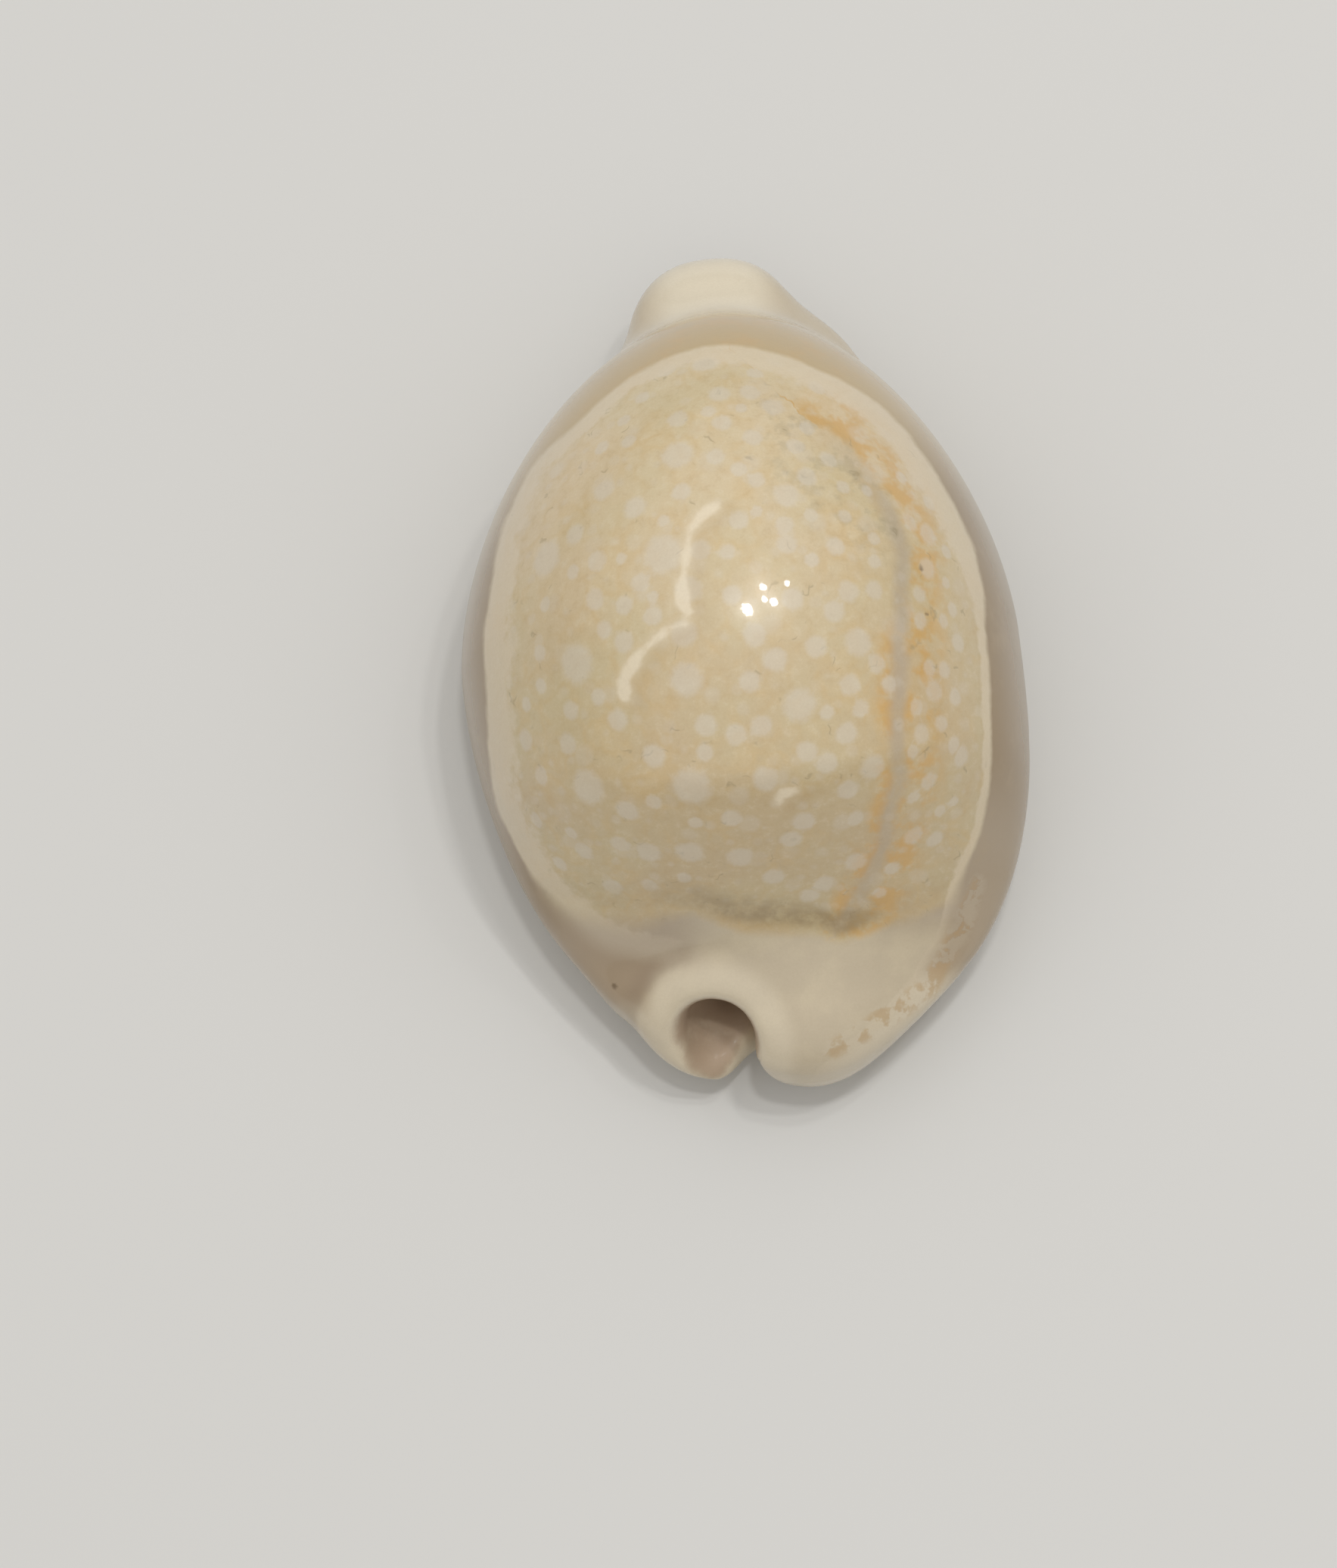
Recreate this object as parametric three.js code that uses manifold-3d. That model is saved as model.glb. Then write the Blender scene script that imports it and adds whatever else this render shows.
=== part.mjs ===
// Cowrie shell, one piece, resting on its base.  Millimetres, +Z up (dorsum),
// +Y towards the anterior end, +X towards the outer (labral) lip.
import * as THREE from "three";
import { mergeVertices } from "three/addons/utils/BufferGeometryUtils.js";
import Module from "manifold-3d";

// ---- driving dimensions -------------------------------------------------
// Body: an egg in plan with its widest level a little above the base.
const WIDEST_AT = [-0.24, 0.58, 4.9];   // where the body is widest, x y z
const HALF_WIDTH = 13.4;
const REACH_FRONT = 16.86;              // body only, the snout goes further
const REACH_BACK = 19.15;
const DOME_RISE = 15.3;                 // widest level to top of the dorsum
const BASE_DROP = 5.3;                  // widest level to the (clipped) base
const PLAN_FRONT = 1.83;                // 2 is an ellipse, more is blunter
const PLAN_BACK = 2.3;
const BASE_ROUND = 2.3;
const SKEW_BACK = -0.051;               // sideways lean of the two ends
const SKEW_FRONT = 0.57;
const TAPER_FRONT = 0.046;
const DIP = 0.71;                       // how far the dorsum drops at the back
const DIP_FROM = -8.0;
const DIP_TO = -17.0;
const DIP_BEND = 0.018;                 // the drop starts sooner at the sides
const EASE = 0.05;                      // gentle fall ahead of the drop

// Ends: [centre, radii, roundness in section, roundness in plan, blend]
const SNOUT = [[0.17, 14.51, 4.7], [4.55, 6.33, 4.25], 2.2, 2.43, 1.6];
const SNOUT_FLANK = [[2.41, 13.74, 3.8], [4.82, 4.61, 3.6], 2.0, 2.0, 1.5];
const LABRAL_LOBE = [[1.33, -14.53, 3.8], [3.66, 5.3, 3.6], 2.2, 2.0, 3.8];
const COLUMELLAR_LOBE = [[-5.86, -13.34, 3.0], [2.44, 3.21, 2.7], 2.2, 2.0, 1.6];

// Posterior canal: a rolled rim round a bore that runs down into the slit.
const RIM_CENTRE = [-3.15, -16.8, 4.9];
const RIM_AXIS = [-0.12, -0.75, 0.66];
const RIM_RADIUS = 2.4;
const RIM_THICK = 0.95;
const RIM_BLEND = 1.5;
const CANAL_IN = [-1.4, -13.2, 2.5];
const CANAL_OUT = [-3.7, -19.2, 6.9];
const CANAL_R_IN = 1.35;
const CANAL_R_OUT = 1.9;
const TROUGH_IN = [-2.9, -15.6, 4.4];
const TROUGH_OUT = [-3.3, -19.8, 4.7];
const TROUGH_R_IN = 1.1;
const TROUGH_R_OUT = 1.5;

// Anterior canal: a notch under the snout.
const NOTCH_IN = [1.2, 10.0, 1.2];
const NOTCH_OUT = [0.0, 22.0, 1.0];
const NOTCH_R = 1.45;

// Aperture slit with its teeth.
const SLIT_X = 1.9;
const SLIT_BOW_FRONT = 1.7;
const SLIT_BOW_BACK = 2.0;
const SLIT_HALF = 0.9;
const SLIT_DEPTH = 5.2;
const TEETH_LABRAL = 17;
const TEETH_COLUMELLAR = 15;
const TEETH_FROM = -15.0;
const TEETH_TO = 14.5;
const TOOTH_HIGH = 0.38;

// Hollow: the body chamber, with the inner whorl's roll along one side.
const CHAMBER_AT = [0.0, 0.6, 6.8];
const CHAMBER_R = [11.9, 14.6, 12.1];
const CHAMBER_BACK = 13.0;
const CHAMBER_LOW = 4.2;
const ROLL_AT = [-3.9, 0.3, 4.6];
const ROLL_R = [3.3, 9.4, 3.7];

const AROUND = 60;                      // facets round the long axis
const ALONG = 44;                       // facets from end to end

// ---- the outer form -----------------------------------------------------
const step = (a, b, v) => {
  const t = Math.min(1, Math.max(0, (v - a) / (b - a)));
  return t * t * (3 - 2 * t);
};
const blend = (a, b, k) => {
  const h = Math.min(1, Math.max(0, 0.5 + 0.5 * (b - a) / k));
  return b + (a - b) * h - k * h * (1 - h);
};

// Signed distance, near enough, to a pebble: plan exponent m, section exponent n.
function pebble(x, y, z, [c, r, n, m]) {
  const X = Math.abs(x - c[0]) / r[0] + 1e-9;
  const Y = Math.abs(y - c[1]) / r[1] + 1e-9;
  const Z = Math.abs(z - c[2]) / r[2] + 1e-9;
  const rho = (X ** m + Y ** m) ** (1 / m);
  const g = (rho ** n + Z ** n) ** (1 / n);
  const dr = g ** (1 - n) * rho ** (n - 1);
  const gx = dr * rho ** (1 - m) * X ** (m - 1) / r[0];
  const gy = dr * rho ** (1 - m) * Y ** (m - 1) / r[1];
  const gz = g ** (1 - n) * Z ** (n - 1) / r[2];
  return (g - 1) / (Math.hypot(gx, gy, gz) + 1e-9);
}

function dome(x, y) {
  const v = y - DIP_BEND * x * x;
  return 1 - EASE * step(0, -10, v) - DIP * step(DIP_FROM, DIP_TO, v);
}

function body(x, y, z) {
  const c = WIDEST_AT;
  const front = y > c[1];
  const m = front ? PLAN_FRONT : PLAN_BACK;
  const n = z > c[2] ? 2 : BASE_ROUND;
  const ry = front ? REACH_FRONT : REACH_BACK;
  const rise = dome(x, y);
  const rz = z > c[2] ? DOME_RISE * rise : BASE_DROP;
  const fall = z > c[2] ? (dome(x, y + 0.05) - rise) / 0.05 / rise : 0;
  const f = Math.min(1.1, Math.max(0, (y - c[1]) / REACH_FRONT));
  const w = HALF_WIDTH * (1 - TAPER_FRONT * f);
  const lean = SKEW_BACK * (y - c[1]) * step(c[1] + 4, c[1] - 8, y) + SKEW_FRONT * f * f;
  const X = Math.abs(x - c[0] - lean) / w + 1e-9;
  const Y = Math.abs(y - c[1]) / ry + 1e-9;
  const Z = Math.abs(z - c[2]) / rz + 1e-9;
  const rho = (X ** m + Y ** m) ** (1 / m);
  const g = (rho ** n + Z ** n) ** (1 / n);
  const dr = g ** (1 - n) * rho ** (n - 1);
  const gx = dr * rho ** (1 - m) * X ** (m - 1) / w;
  const gy = dr * rho ** (1 - m) * Y ** (m - 1) / ry * (front ? 1 : -1)
    - g ** (1 - n) * Z ** n * fall;
  const gz = g ** (1 - n) * Z ** (n - 1) / rz;
  return (g - 1) / (Math.hypot(gx, gy, gz) + 1e-9);
}

function rim(x, y, z) {
  const axis = new THREE.Vector3(...RIM_AXIS).normalize();
  const p = new THREE.Vector3(x, y, z).sub(new THREE.Vector3(...RIM_CENTRE));
  const a = p.dot(axis);
  const q = Math.sqrt(Math.max(0, p.lengthSq() - a * a));
  return Math.hypot(q - RIM_RADIUS, a) - RIM_THICK;
}

function outer(x, y, z) {
  let d = body(x, y, z);
  for (const lump of [SNOUT, SNOUT_FLANK, LABRAL_LOBE, COLUMELLAR_LOBE])
    d = blend(d, pebble(x, y, z, lump), lump[4]);
  return blend(d, rim(x, y, z), RIM_BLEND);
}

const slitX = (y) => {
  const u = y - 2;
  return SLIT_X - SLIT_BOW_FRONT * (Math.max(u, 0) / 17) ** 2
    - SLIT_BOW_BACK * (Math.max(-u, 0) / 19) ** 2.2;
};
const slitLean = (y) => -0.5 * step(-8, -15, y);
const slitHalf = (y) => SLIT_HALF + 0.5 * step(2, 15, y)
  - 0.5 * step(-11, -16.5, y) + 0.9 * step(-17, -19.5, y);

// ---- solids -------------------------------------------------------------
const { Manifold, Mesh } = await Module().then((m) => { m.setup(); return m; });

function solid(geometry) {
  let g = geometry.clone();
  for (const name of Object.keys(g.attributes))
    if (name !== "position") g.deleteAttribute(name);
  g = mergeVertices(g, 1e-4);
  const idx = g.index.array;
  const tri = [];
  for (let i = 0; i < idx.length; i += 3) {
    const [a, b, c] = [idx[i], idx[i + 1], idx[i + 2]];
    if (a !== b && b !== c && c !== a) tri.push(a, b, c);
  }
  const mesh = new Mesh({
    numProp: 3,
    vertProperties: Float32Array.from(g.attributes.position.array),
    triVerts: Uint32Array.from(tri),
  });
  mesh.merge();
  return Manifold.ofMesh(mesh);
}

// A globe with its poles on the long axis, rings crowded towards both ends.
function globe(around, along) {
  const g = new THREE.SphereGeometry(1, around, along);
  g.rotateX(Math.PI / 2);
  const p = g.attributes.position;
  const v = new THREE.Vector3();
  for (let i = 0; i < p.count; i++) {
    v.fromBufferAttribute(p, i);
    const polar = Math.acos(Math.min(1, Math.max(-1, v.y)));
    const even = polar - 0.22 * Math.sin(2 * polar);
    const s = Math.hypot(v.x, v.z);
    const k = s > 1e-6 ? Math.sin(even) / s : 0;
    p.setXYZ(i, v.x * k, Math.cos(even), v.z * k);
  }
  return g;
}

// Move every point of a globe out to the surface met first from outside.
function shrinkTo(field, centre, around, along, far) {
  const g = globe(around, along);
  const p = g.attributes.position;
  const v = new THREE.Vector3();
  for (let i = 0; i < p.count; i++) {
    v.fromBufferAttribute(p, i).normalize();
    const at = (r) => field(centre[0] + v.x * r, centre[1] + v.y * r, centre[2] + v.z * r);
    let hi = far;
    while (hi > 0.5 && at(hi - 0.2) > 0) hi -= 0.2;
    let lo = hi - 0.2;
    for (let k = 0; k < 24; k++) {
      const mid = (lo + hi) / 2;
      if (at(mid) > 0) hi = mid;
      else lo = mid;
    }
    p.setXYZ(i, centre[0] + v.x * lo, centre[1] + v.y * lo, centre[2] + v.z * lo);
  }
  return g;
}

function chamber(x, y, z) {
  const back = y < CHAMBER_AT[1];
  const low = z < CHAMBER_AT[2];
  const r = [CHAMBER_R[0], back ? CHAMBER_BACK : CHAMBER_R[1], low ? CHAMBER_LOW : CHAMBER_R[2]];
  return pebble(x, y, z, [CHAMBER_AT, r, 2, 2]);
}

// A round bar between two points, each end with its own radius.
function bar(from, to, rFrom, rTo) {
  const a = new THREE.Vector3(...from);
  const b = new THREE.Vector3(...to);
  const g = new THREE.CylinderGeometry(rTo, rFrom, a.distanceTo(b), 28, 1);
  const turn = new THREE.Quaternion().setFromUnitVectors(
    new THREE.Vector3(0, 1, 0), b.clone().sub(a).normalize());
  g.applyQuaternion(turn);
  g.translate((a.x + b.x) / 2, (a.y + b.y) / 2, (a.z + b.z) / 2);
  return solid(g).add(solid(new THREE.SphereGeometry(rFrom, 20, 12).translate(a.x, a.y, a.z)));
}

// The slit: an outline in plan with teeth on both sides, drawn down through the base.
function slit() {
  const side = (sign, teeth) => {
    const pts = [];
    for (const y of [-22, -20.4, -19.2, -18.2, -17.2, -16.2, -15.5])
      pts.push([sign, y, 0]);
    const pitch = (TEETH_TO - TEETH_FROM) / teeth;
    for (let i = 0; i < teeth; i++) {
      const y = TEETH_FROM + i * pitch;
      pts.push([sign, y + 0.1 * pitch, 0], [sign, y + 0.32 * pitch, 1]);
      pts.push([sign, y + 0.62 * pitch, 1], [sign, y + 0.86 * pitch, 0]);
    }
    for (const y of [15.2, 17, 19, 22.5])
      pts.push([sign, y, 0]);
    return pts;
  };
  const ring = [...side(1, TEETH_LABRAL), ...side(-1, TEETH_COLUMELLAR).reverse()];
  const shape = new THREE.Shape(ring.map(([s, y, t]) =>
    new THREE.Vector2(slitX(y) + s * (slitHalf(y) - t * TOOTH_HIGH), y)));
  const levels = [-1.0, 0.0, 0.5, 1.2, 2.4, SLIT_DEPTH];
  const flare = [1.5, 0.95, 0.4, 0.08, 0.0, 0.0];
  const g = new THREE.ExtrudeGeometry(shape, { depth: 5, steps: 5, bevelEnabled: false });
  const p = g.attributes.position;
  for (let i = 0; i < p.count; i++) {
    const k = Math.round(p.getZ(i));
    const y = p.getY(i);
    const mid = slitX(y);
    const off = p.getX(i) - mid;
    const x = mid + off + Math.sign(off) * flare[k] + slitLean(y) * (levels[k] - 1);
    p.setXYZ(i, x, y, levels[k]);
  }
  return solid(g);
}

const lip = new THREE.TorusGeometry(RIM_RADIUS, RIM_THICK, 10, 24);
lip.applyQuaternion(new THREE.Quaternion().setFromUnitVectors(
  new THREE.Vector3(0, 0, 1), new THREE.Vector3(...RIM_AXIS).normalize()));
lip.translate(...RIM_CENTRE);

const outside = solid(shrinkTo(outer, [0, -1, 6.5], AROUND, ALONG, 27)).add(solid(lip));
const floor = solid(new THREE.BoxGeometry(60, 60, 10).translate(0, 0, -5));
const roll = solid(shrinkTo(
  (x, y, z) => pebble(x, y, z, [ROLL_AT, ROLL_R, 2, 2]), ROLL_AT, 22, 16, 14));
const hollow = solid(shrinkTo(chamber, CHAMBER_AT, 32, 22, 18)).subtract(roll);
const shell = outside
  .subtract(floor)
  .subtract(hollow)
  .subtract(slit())
  .subtract(bar(CANAL_IN, CANAL_OUT, CANAL_R_IN, CANAL_R_OUT))
  .subtract(bar(TROUGH_IN, TROUGH_OUT, TROUGH_R_IN, TROUGH_R_OUT))
  .subtract(bar(NOTCH_IN, NOTCH_OUT, NOTCH_R, NOTCH_R));

// Keep the one shell, drop any loose crumb the cuts leave behind.
const whole = shell.decompose().sort((a, b) => b.volume() - a.volume())[0];
const out = whole.getMesh();
const geometry = new THREE.BufferGeometry();
const xyz = new Float32Array(out.numVert * 3);
for (let i = 0; i < out.numVert; i++)
  for (let k = 0; k < 3; k++) xyz[3 * i + k] = out.vertProperties[i * out.numProp + k];
geometry.setAttribute("position", new THREE.BufferAttribute(xyz, 3));
geometry.setIndex(new THREE.BufferAttribute(Uint32Array.from(out.triVerts), 1));

// Put the middle of the base's box at the origin.
geometry.computeBoundingBox();
const box = geometry.boundingBox;
geometry.translate(-(box.min.x + box.max.x) / 2, -(box.min.y + box.max.y) / 2, -box.min.z);
geometry.computeVertexNormals();

const material = new THREE.MeshStandardMaterial({ color: 0xc9b890, roughness: 0.15, metalness: 0 });
const cowrie = new THREE.Mesh(geometry, material);
cowrie.name = "cowrie_shell";

const part = new THREE.Group();
part.name = "cowrie";
part.add(cowrie);
export default part;
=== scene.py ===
# Cowrie shell: dorsum up on a pale studio floor.
import math
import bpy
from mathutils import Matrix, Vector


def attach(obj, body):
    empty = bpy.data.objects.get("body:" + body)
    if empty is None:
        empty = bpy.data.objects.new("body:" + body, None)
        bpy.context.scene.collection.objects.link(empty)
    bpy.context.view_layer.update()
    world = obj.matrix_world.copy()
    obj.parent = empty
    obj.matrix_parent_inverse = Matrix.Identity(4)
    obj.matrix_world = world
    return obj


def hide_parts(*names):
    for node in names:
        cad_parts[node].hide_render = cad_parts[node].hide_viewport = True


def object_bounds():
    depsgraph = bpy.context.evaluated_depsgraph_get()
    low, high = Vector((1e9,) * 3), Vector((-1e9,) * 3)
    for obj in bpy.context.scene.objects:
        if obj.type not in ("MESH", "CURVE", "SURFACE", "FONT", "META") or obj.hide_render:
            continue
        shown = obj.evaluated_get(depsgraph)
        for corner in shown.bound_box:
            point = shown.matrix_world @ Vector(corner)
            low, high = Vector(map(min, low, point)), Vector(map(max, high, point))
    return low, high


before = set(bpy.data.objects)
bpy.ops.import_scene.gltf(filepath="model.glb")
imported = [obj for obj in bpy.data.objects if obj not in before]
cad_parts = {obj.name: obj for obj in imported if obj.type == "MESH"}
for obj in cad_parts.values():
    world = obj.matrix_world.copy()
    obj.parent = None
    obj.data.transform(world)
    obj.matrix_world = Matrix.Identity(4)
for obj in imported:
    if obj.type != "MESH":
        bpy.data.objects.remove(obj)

from types import SimpleNamespace

import bpy
import numpy as np
from mathutils import Matrix, Vector

MM = 0.001
cad_box = [list(corner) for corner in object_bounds()]
scene = bpy.context.scene

# The viewer looks down on the dorsum, tilted a little towards the canal.
VIEW_TILT, VIEW_FAR = math.radians(75), 230.0
VIEW_CENTRE = np.array([0.0, 0.0, 4.0])
VIEW_BACK = np.array([0.0, -math.cos(VIEW_TILT), math.sin(VIEW_TILT)])
VIEW_UP = np.array([0.0, math.sin(VIEW_TILT), math.cos(VIEW_TILT)])

# ---------------------------------------------------------------- form
# Millimetres, before the shell is set on the middle of its box.
WIDEST = (-0.24, 0.58, 4.9)
HALF_WIDTH, DOME_RISE, BASE_DROP = 13.4, 15.3, 5.3
REACH_FRONT, REACH_BACK = 16.86, 19.15
PLAN_FRONT, PLAN_BACK, BASE_ROUND = 1.83, 2.3, 2.3
SKEW_BACK, SKEW_FRONT, TAPER_FRONT = -0.051, 0.57, 0.046
DIP, DIP_FROM, DIP_TO, DIP_BEND, EASE = 0.71, -8.0, -17.0, 0.018, 0.05

# centre, radii, section roundness, plan roundness, blend
SNOUT = ((0.17, 14.51, 4.7), (4.55, 6.33, 4.25), 2.2, 2.43, 1.6)
SNOUT_FLANK = ((2.41, 13.74, 3.8), (4.82, 4.61, 3.6), 2.0, 2.0, 1.5)
LABRAL_LOBE = ((1.33, -14.53, 3.8), (3.66, 5.3, 3.6), 2.2, 2.0, 3.8)
COLUMELLAR_LOBE = ((-5.86, -13.34, 3.0), (2.44, 3.21, 2.7), 2.2, 2.0, 1.6)

RIM_CENTRE, RIM_AXIS = (-3.15, -16.8, 4.9), (-0.12, -0.75, 0.66)
RIM_RADIUS, RIM_THICK, RIM_BLEND = 2.4, 0.95, 1.5
CANAL = ((-1.4, -13.2, 2.5), (-3.7, -19.2, 6.9), 1.35, 1.9)
TROUGH = ((-2.9, -15.6, 4.4), (-3.3, -19.8, 4.7), 1.1, 1.5)
NOTCH = ((1.2, 10.0, 1.2), (0.0, 22.0, 1.0), 1.45, 1.45)
SLIT_X, BOW_FRONT, BOW_BACK, SLIT_HALF, SLIT_DEPTH = 1.9, 1.7, 2.0, 0.9, 5.2

CHAMBER = ((0.0, 0.6, 6.8), (11.9, 14.6, 12.1), 13.0, 4.2)
ROLL = ((-3.9, 0.3, 4.6), (3.3, 9.4, 3.7), 2.0, 2.0, 0.0)


def step(a, b, v):
    """Smooth step from 0 at a to 1 at b; a may be the larger."""
    t = np.clip((v - a) / (b - a), 0, 1)
    return t * t * (3 - 2 * t)


def join(a, b, k):
    """Two bodies made one, with a fillet about k wide."""
    h = np.clip(0.5 + 0.5 * (b - a) / k, 0, 1)
    return b + (a - b) * h - k * h * (1 - h)


def carve(a, b, k):
    """Body a with b cut out of it, the edge eased by k."""
    return -join(-a, b, k)


def pebble_from(X, Y, Z, rx, ry, rz, n, m, fall=0.0):
    """Distance to a pebble from its own scaled coordinates."""
    rho = (X ** m + Y ** m) ** (1 / m)
    g = (rho ** n + Z ** n) ** (1 / n)
    dr = g ** (1 - n) * rho ** (n - 1)
    gx = dr * rho ** (1 - m) * X ** (m - 1) / rx
    gy = dr * rho ** (1 - m) * Y ** (m - 1) / ry - g ** (1 - n) * Z ** n * fall
    gz = g ** (1 - n) * Z ** (n - 1) / rz
    return (g - 1) / (np.sqrt(gx * gx + gy * gy + gz * gz) + 1e-9)


def pebble(x, y, z, lump):
    c, r, n, m = lump[:4]
    X = np.abs(x - c[0]) / r[0] + 1e-9
    Y = np.abs(y - c[1]) / r[1] + 1e-9
    Z = np.abs(z - c[2]) / r[2] + 1e-9
    return pebble_from(X, Y, Z, r[0], r[1], r[2], n, m)


def dome(x, y):
    """How high the dome stands, as a share of its full rise."""
    v = y - DIP_BEND * x * x
    return 1 - EASE * step(0, -10, v) - DIP * step(DIP_FROM, DIP_TO, v)


def body(x, y, z):
    """The egg-shaped body whorl."""
    c = WIDEST
    front = y > c[1]
    up = z > c[2]
    m = np.where(front, PLAN_FRONT, PLAN_BACK)
    n = np.where(up, 2.0, BASE_ROUND)
    ry = np.where(front, REACH_FRONT, REACH_BACK)
    rise = dome(x, y)
    rz = np.where(up, DOME_RISE * rise, BASE_DROP)
    fall = np.where(up, (dome(x, y + 0.05) - rise) / 0.05 / rise, 0)
    f = np.clip((y - c[1]) / REACH_FRONT, 0, 1.1)
    w = HALF_WIDTH * (1 - TAPER_FRONT * f)
    lean = SKEW_BACK * (y - c[1]) * step(c[1] + 4, c[1] - 8, y) + SKEW_FRONT * f * f
    X = np.abs(x - c[0] - lean) / w + 1e-9
    Y = np.abs(y - c[1]) / ry + 1e-9
    Z = np.abs(z - c[2]) / rz + 1e-9
    return pebble_from(X, Y, Z, w, np.where(front, ry, -ry), rz, n, m, fall)


def rim(x, y, z):
    """The rolled ring round the canal."""
    axis = np.array(RIM_AXIS) / np.linalg.norm(RIM_AXIS)
    px, py, pz = x - RIM_CENTRE[0], y - RIM_CENTRE[1], z - RIM_CENTRE[2]
    a = px * axis[0] + py * axis[1] + pz * axis[2]
    q = np.sqrt(np.maximum(px * px + py * py + pz * pz - a * a, 0))
    return np.hypot(q - RIM_RADIUS, a) - RIM_THICK


def bar(x, y, z, spec):
    """Distance to a tapered round bar."""
    a, b = np.array(spec[0]), np.array(spec[1])
    d = b - a
    t = ((x - a[0]) * d[0] + (y - a[1]) * d[1] + (z - a[2]) * d[2]) / (d @ d)
    t = np.clip(t, 0, 1)
    px, py, pz = x - a[0] - t * d[0], y - a[1] - t * d[1], z - a[2] - t * d[2]
    return np.sqrt(px * px + py * py + pz * pz) - spec[2] - (spec[3] - spec[2]) * t


def outer(x, y, z):
    d = body(x, y, z)
    for lump in (SNOUT, SNOUT_FLANK, LABRAL_LOBE, COLUMELLAR_LOBE):
        d = join(d, pebble(x, y, z, lump), lump[4])
    return join(d, rim(x, y, z), RIM_BLEND)


def slit_x(y, z):
    """Middle of the bowed slit."""
    u = y - 2
    x = SLIT_X - BOW_FRONT * (np.maximum(u, 0) / 17) ** 2
    x = x - BOW_BACK * (np.maximum(-u, 0) / 19) ** 2.2
    return x - 0.5 * step(-8, -15, y) * (z - 1)


def slit_half(y):
    wide = SLIT_HALF + 0.5 * step(2, 15, y) - 0.5 * step(-11, -16.5, y)
    return wide + 0.9 * step(-17, -19.5, y)


def slit(x, y, z):
    flare = 0.9 * step(1.4, -0.2, z)
    wall = np.abs(x - slit_x(y, z)) - slit_half(y) - flare
    return np.maximum(wall, z - SLIT_DEPTH)


def hollow(x, y, z):
    """The chamber, less the inner roll."""
    c, r, back, low = CHAMBER
    ry = np.where(y < c[1], back, r[1])
    rz = np.where(z < c[2], low, r[2])
    X = np.abs(x - c[0]) / r[0] + 1e-9
    Y = np.abs(y - c[1]) / ry + 1e-9
    Z = np.abs(z - c[2]) / rz + 1e-9
    room = pebble_from(X, Y, Z, r[0], ry, rz, 2.0, 2.0)
    return carve(room, pebble(x, y, z, ROLL), 0.8)


def shell(x, y, z):
    d = outer(x, y, z)
    d = carve(d, bar(x, y, z, CANAL), 0.9)
    d = carve(d, bar(x, y, z, TROUGH), 0.7)
    d = carve(d, bar(x, y, z, NOTCH), 0.8)
    d = carve(d, slit(x, y, z), 0.8)
    d = carve(d, hollow(x, y, z), 0.5)
    return carve(d, z, 0.4)


# ---------------------------------------------------------------- skin
def skin(field, lo, hi, h):
    """Surface-net mesh of field = 0, as vertices and quads."""
    coarse = 3
    counts = [int(math.ceil((hi[k] - lo[k]) / (h * coarse))) for k in range(3)]
    axes = [lo[k] + (np.arange(counts[k]) + 0.5) * h * coarse for k in range(3)]
    rough = field(*np.meshgrid(*axes, indexing="ij"))
    value = np.repeat(np.repeat(np.repeat(rough, coarse, 0), coarse, 1), coarse, 2)
    near = np.abs(value) < h * coarse * 1.6
    axes = [lo[k] + (np.arange(counts[k] * coarse) + 0.5) * h for k in range(3)]
    ix, iy, iz = np.nonzero(near)
    value[ix, iy, iz] = field(axes[0][ix], axes[1][iy], axes[2][iz])
    inside = value < 0
    cells = tuple(s - 1 for s in value.shape)
    total = np.zeros(cells + (3,))
    hits = np.zeros(cells, int)

    def corner(arr, o):
        return arr[o[0]:o[0] + cells[0], o[1]:o[1] + cells[1], o[2]:o[2] + cells[2]]

    for axis in range(3):
        for p in (0, 1):
            for q in (0, 1):
                a = [0, 0, 0]
                a[(axis + 1) % 3], a[(axis + 2) % 3] = p, q
                b = list(a)
                b[axis] = 1
                va, vb = corner(value, a), corner(value, b)
                hit = (va < 0) != (vb < 0)
                t = np.where(hit, va / np.where(hit, va - vb, 1), 0)
                for k in range(3):
                    total[..., k] += hit * (a[k] + (t if k == axis else 0))
                hits += hit
    used = hits > 0
    ids = np.full(cells, -1)
    ids[used] = np.arange(used.sum())
    where = np.argwhere(used)
    verts = (where + total[used] / hits[used][:, None]) * h
    verts += np.array([a[0] for a in axes])
    quads = []
    for axis in range(3):
        u, v = (axis + 1) % 3, (axis + 2) % 3
        sl = [slice(None)] * 3
        nx = [slice(None)] * 3
        sl[axis], nx[axis] = slice(0, -1), slice(1, None)
        here, there = inside[tuple(sl)], inside[tuple(nx)]
        change = np.argwhere(here != there)
        keep = (change[:, u] > 0) & (change[:, v] > 0)
        keep &= (change[:, u] < cells[u]) & (change[:, v] < cells[v])
        change = change[keep]
        solid = here[tuple(change.T)]
        around = []
        for du, dv in ((1, 1), (0, 1), (0, 0), (1, 0)):
            c = change.copy()
            c[:, u] -= du
            c[:, v] -= dv
            around.append(ids[tuple(c.T)])
        ring = np.stack(around, 1)
        ring[~solid] = ring[~solid][:, ::-1]
        quads.append(ring)
    return verts, np.concatenate(quads)


def slope(field, p, e=0.02):
    """Gradient of the field at each point."""
    g = np.empty_like(p)
    for k in range(3):
        a, b = p.copy(), p.copy()
        a[:, k] += e
        b[:, k] -= e
        g[:, k] = (field(*a.T) - field(*b.T)) / (2 * e)
    return g


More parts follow.
